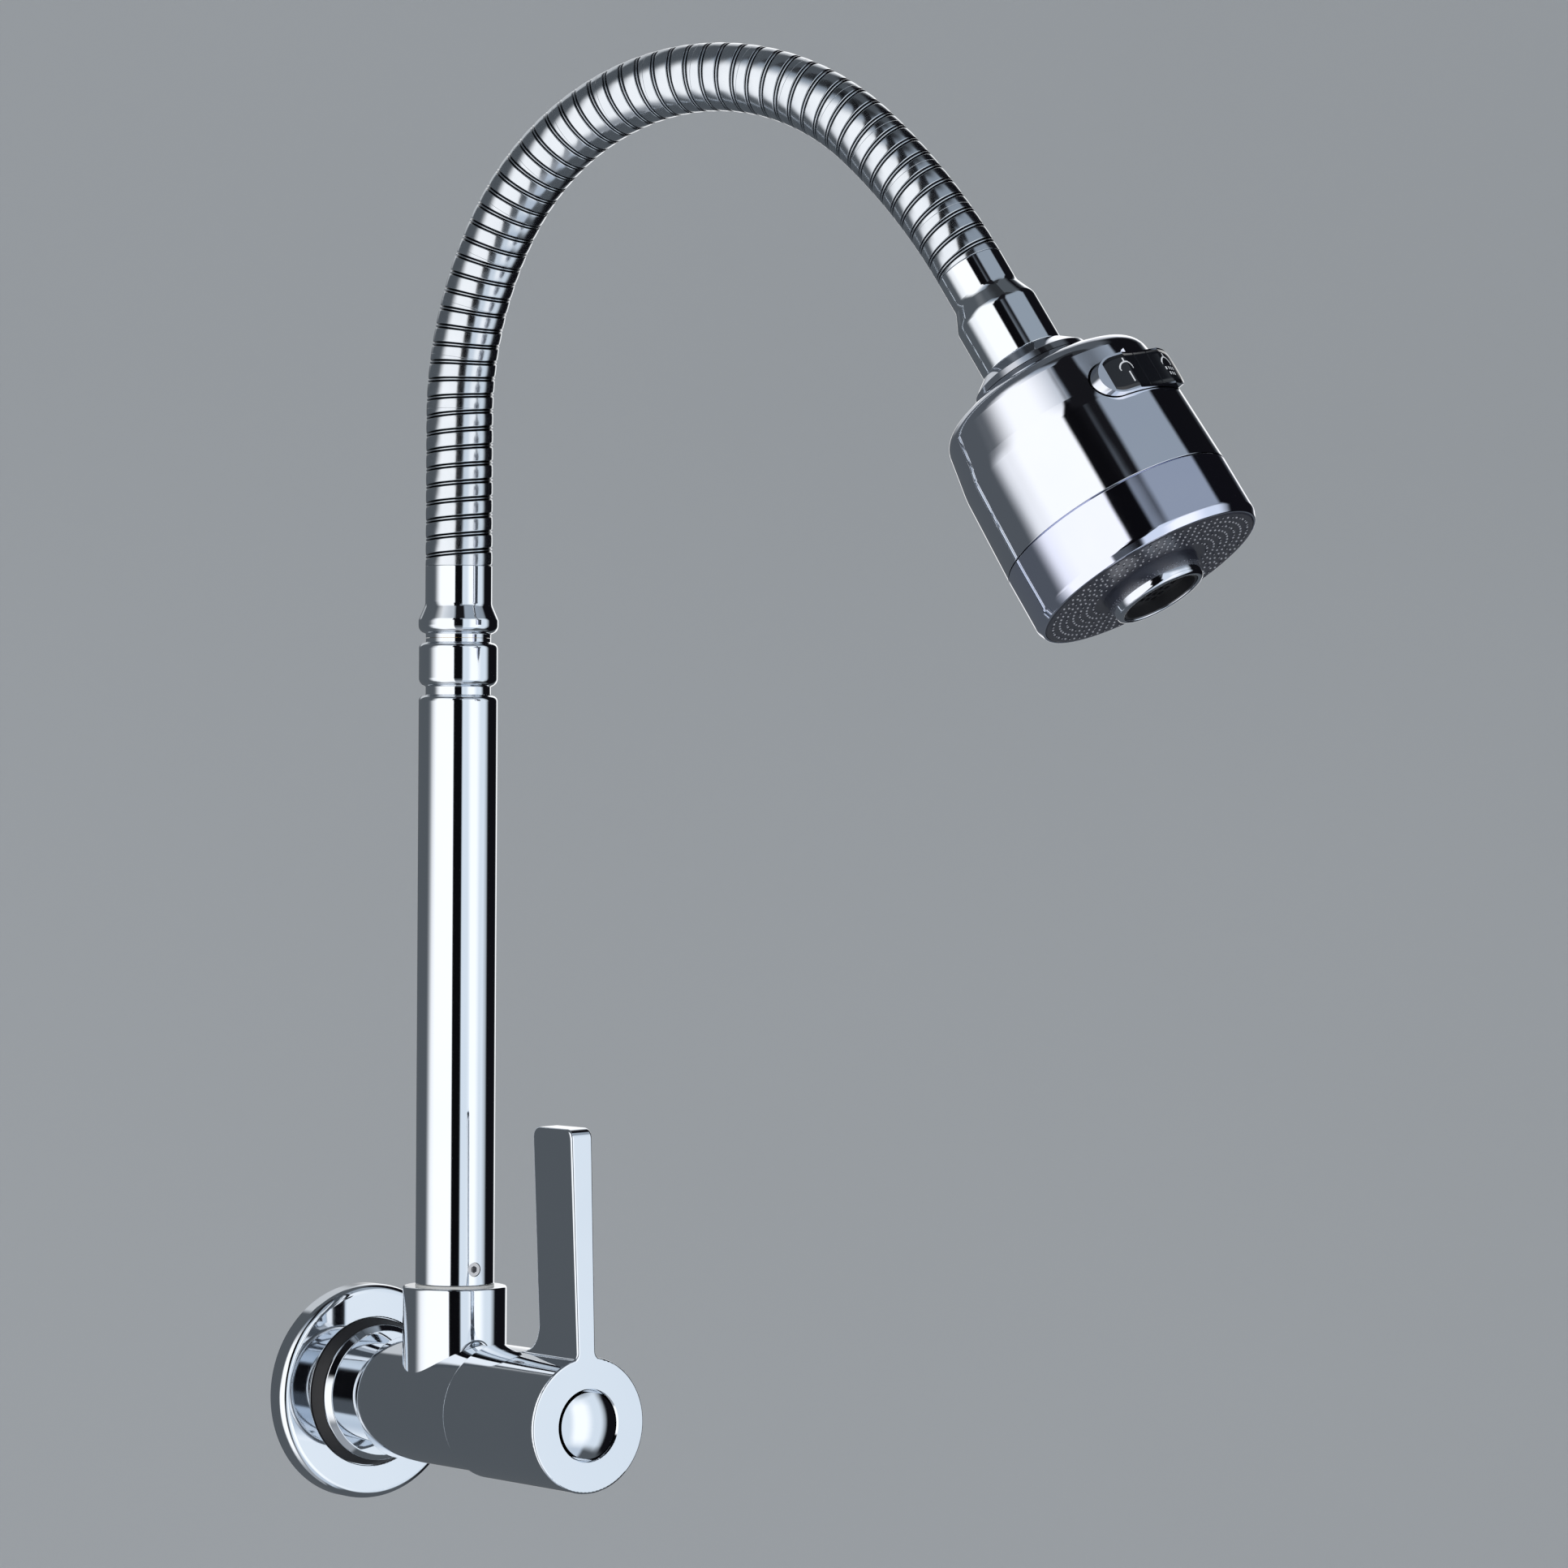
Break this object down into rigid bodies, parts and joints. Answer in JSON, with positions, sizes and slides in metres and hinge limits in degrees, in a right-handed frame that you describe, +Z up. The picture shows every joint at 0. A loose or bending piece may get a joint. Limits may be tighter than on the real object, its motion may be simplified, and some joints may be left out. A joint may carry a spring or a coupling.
{
  "type": "kitchen faucet",
  "caption": "wall-mounted kitchen faucet with a lever valve, an upright spout tube, a bendable ribbed gooseneck and a swivelling spray head with a rocker switch",
  "frame": {"origin": "centre of the inlet thread in the plane of the finished wall, where the flange's back rests", "axes": "+Z up along the spout tube, +Y into the wall along the inlet, +X to the right for someone who faces the wall"},
  "size_m": [0.1486, 0.2871, 0.4063],
  "materials": {
    "chrome_brass": "bright chrome plating on brass",
    "button_chrome": "bright chrome plating",
    "neck_steel": "satin chrome on ribbed steel",
    "head_chrome": "bright chrome plating on plastic",
    "brass": "machined",
    "steel": "stainless",
    "ceramic": "lapped",
    "seal_rubber": null,
    "hose_rubber": "smooth",
    "slip_plastic": null,
    "core_plastic": null,
    "face_plastic": "soft grey with pale nozzles",
    "aerator_plastic": null
  },
  "bodies": {
    "fixed": {"inlet_nipple": "brass", "inlet_strainer": "steel", "wall_flange": "chrome_brass", "flange_gasket": "seal_rubber", "flange_seal": "seal_rubber", "valve_body": "chrome_brass", "cartridge_housing": "brass", "housing_seal": "seal_rubber", "seat_seal": "seal_rubber", "fixed_disc": "ceramic", "swivel_clip": "steel", "slip_ring": "slip_plastic"},
    "handle": {"handle": "chrome_brass", "handle_screw": "steel", "index_button": "button_chrome", "spindle": "brass", "spindle_seal": "seal_rubber", "spindle_clip": "steel", "moving_disc": "ceramic"},
    "spout": {"spout_tube": "chrome_brass", "swivel_nipple": "brass", "swivel_orings": "seal_rubber", "grub_screw": "steel", "neck_ferrule": "chrome_brass", "neck_connector": "brass", "neck_foot": "neck_steel", "inner_hose": "hose_rubber"},
    "neck_01": {"neck_link_01": "neck_steel"},
    "neck_02": {"neck_link_02": "neck_steel"},
    "neck_03": {"neck_link_03": "neck_steel"},
    "neck_04": {"neck_link_04": "neck_steel"},
    "neck_05": {"neck_link_05": "neck_steel"},
    "neck_06": {"neck_link_06": "neck_steel"},
    "neck_07": {"neck_link_07": "neck_steel"},
    "neck_08": {"neck_link_08": "neck_steel"},
    "neck_09": {"neck_link_09": "neck_steel"},
    "neck_10": {"neck_link_10": "neck_steel"},
    "neck_11": {"neck_link_11": "neck_steel"},
    "neck_12": {"neck_link_12": "neck_steel"},
    "neck_13": {"neck_link_13": "neck_steel"},
    "neck_14": {"neck_link_14": "neck_steel"},
    "neck_15": {"neck_link_15": "neck_steel"},
    "neck_end": {"neck_link_16": "neck_steel", "head_adapter": "chrome_brass", "head_oring": "seal_rubber", "head_clip": "steel"},
    "head": {"head_collar": "head_chrome", "head_upper_shell": "head_chrome", "head_lower_shell": "head_chrome", "head_core": "core_plastic", "spray_face": "face_plastic", "aerator_ring": "head_chrome", "aerator_insert": "aerator_plastic", "rocker_pin": "steel"},
    "rocker": {"diverter_rocker": "head_chrome"},
    "spool": {"diverter_spool": "slip_plastic"}
  },
  "joints": [
    {"name": "handle_turn", "type": "hinge", "parent": "fixed", "child": "handle", "pos_m": [0, -0.09, 0], "axis": [0, -1, 0], "range_deg": [-2, 88]},
    {"name": "spout_swivel", "type": "hinge", "parent": "fixed", "child": "spout", "pos_m": [0, -0.0471, 0], "axis": [0, 0, 1], "range_deg": [-114.3, 65.7]},
    {"name": "neck_bend_01", "type": "hinge", "parent": "spout", "child": "neck_01", "pos_m": [0.00001, -0.04712, 0.2778], "axis": [0.9114, 0.4115, 0], "range_deg": [-4.66, 1.04]},
    {"name": "neck_bend_02", "type": "hinge", "parent": "neck_01", "child": "neck_02", "pos_m": [0.00053, -0.04828, 0.2923], "axis": [0.9114, 0.4115, 0], "range_deg": [-7.16, 1.59]},
    {"name": "neck_bend_03", "type": "hinge", "parent": "neck_02", "child": "neck_03", "pos_m": [0.00186, -0.05121, 0.3065], "axis": [0.9114, 0.4115, 0], "range_deg": [-7.16, 1.59]},
    {"name": "neck_bend_04", "type": "hinge", "parent": "neck_03", "child": "neck_04", "pos_m": [0.00395, -0.05586, 0.32013], "axis": [0.9114, 0.4115, 0], "range_deg": [-7.16, 1.59]},
    {"name": "neck_bend_05", "type": "hinge", "parent": "neck_04", "child": "neck_05", "pos_m": [0.00679, -0.06215, 0.33295], "axis": [0.9114, 0.4115, 0], "range_deg": [-9.62, 2.14]},
    {"name": "neck_bend_06", "type": "hinge", "parent": "neck_05", "child": "neck_06", "pos_m": [0.01053, -0.07042, 0.34431], "axis": [0.9114, 0.4115, 0], "range_deg": [-10.53, 2.34]},
    {"name": "neck_bend_07", "type": "hinge", "parent": "neck_06", "child": "neck_07", "pos_m": [0.01511, -0.08056, 0.35367], "axis": [0.9114, 0.4115, 0], "range_deg": [-10.53, 2.34]},
    {"name": "neck_bend_08", "type": "hinge", "parent": "neck_07", "child": "neck_08", "pos_m": [0.02036, -0.09219, 0.36065], "axis": [0.9114, 0.4115, 0], "range_deg": [-10.22, 2.27], "deforming": ["inner_hose"]},
    {"name": "neck_bend_09", "type": "hinge", "parent": "neck_08", "child": "neck_09", "pos_m": [0.02607, -0.10484, 0.36499], "axis": [0.9114, 0.4115, 0], "range_deg": [-10.53, 2.34]},
    {"name": "neck_bend_10", "type": "hinge", "parent": "neck_09", "child": "neck_10", "pos_m": [0.03202, -0.11802, 0.36651], "axis": [0.9114, 0.4115, 0], "range_deg": [-10.53, 2.34]},
    {"name": "neck_bend_11", "type": "hinge", "parent": "neck_10", "child": "neck_11", "pos_m": [0.03798, -0.13122, 0.36514], "axis": [0.9114, 0.4115, 0], "range_deg": [-10.53, 2.34]},
    {"name": "neck_bend_12", "type": "hinge", "parent": "neck_11", "child": "neck_12", "pos_m": [0.04371, -0.14391, 0.36096], "axis": [0.9114, 0.4115, 0], "range_deg": [-10.53, 2.34]},
    {"name": "neck_bend_13", "type": "hinge", "parent": "neck_12", "child": "neck_13", "pos_m": [0.04899, -0.15561, 0.35411], "axis": [0.9114, 0.4115, 0], "range_deg": [-10.53, 2.34]},
    {"name": "neck_bend_14", "type": "hinge", "parent": "neck_13", "child": "neck_14", "pos_m": [0.05364, -0.16589, 0.34493], "axis": [0.9114, 0.4115, 0], "range_deg": [-5.69, 1.26]},
    {"name": "neck_bend_15", "type": "hinge", "parent": "neck_14", "child": "neck_15", "pos_m": [0.05783, -0.17518, 0.33453], "axis": [0.9114, 0.4115, 0], "range_deg": [-4.42, 0.98]},
    {"name": "neck_bend_16", "type": "hinge", "parent": "neck_15", "child": "neck_end", "pos_m": [0.06165, -0.18365, 0.32331], "axis": [0.9114, 0.4115, 0], "range_deg": [-4.42, 0.98]},
    {"name": "head_swivel", "type": "hinge", "parent": "neck_end", "child": "head", "pos_m": [0.07172, -0.20593, 0.28607], "axis": [0.2211, -0.4897, -0.8434], "continuous": true},
    {"name": "rocker_tilt", "type": "hinge", "parent": "head", "child": "rocker", "pos_m": [0.08004, -0.24117, 0.28001], "axis": [0.2211, -0.4897, -0.8434], "range_deg": [-7, 7]},
    {"name": "spool_slide", "type": "slide", "parent": "head", "child": "spool", "axis": [-0.9693, -0.2059, -0.1345], "range_m": [-0.00105, 0.00105]}
  ],
  "couplings": [
    {"joint": "neck_bend_01", "follows": "neck_bend_08", "ratio": 0.44311},
    {"joint": "neck_bend_02", "follows": "neck_bend_08", "ratio": 0.68056},
    {"joint": "neck_bend_03", "follows": "neck_bend_08", "ratio": 0.68056},
    {"joint": "neck_bend_04", "follows": "neck_bend_08", "ratio": 0.68056},
    {"joint": "neck_bend_05", "follows": "neck_bend_08", "ratio": 0.91385},
    {"joint": "neck_bend_06", "follows": "neck_bend_08", "ratio": 1},
    {"joint": "neck_bend_07", "follows": "neck_bend_08", "ratio": 1},
    {"joint": "neck_bend_09", "follows": "neck_bend_08", "ratio": 1},
    {"joint": "neck_bend_10", "follows": "neck_bend_08", "ratio": 1},
    {"joint": "neck_bend_11", "follows": "neck_bend_08", "ratio": 1},
    {"joint": "neck_bend_12", "follows": "neck_bend_08", "ratio": 1},
    {"joint": "neck_bend_13", "follows": "neck_bend_08", "ratio": 1},
    {"joint": "neck_bend_14", "follows": "neck_bend_08", "ratio": 0.54071},
    {"joint": "neck_bend_15", "follows": "neck_bend_08", "ratio": 0.42},
    {"joint": "neck_bend_16", "follows": "neck_bend_08", "ratio": 0.42},
    {"joint": "rocker_tilt", "follows": "spool_slide", "rad_per_m": -116.28}
  ]
}
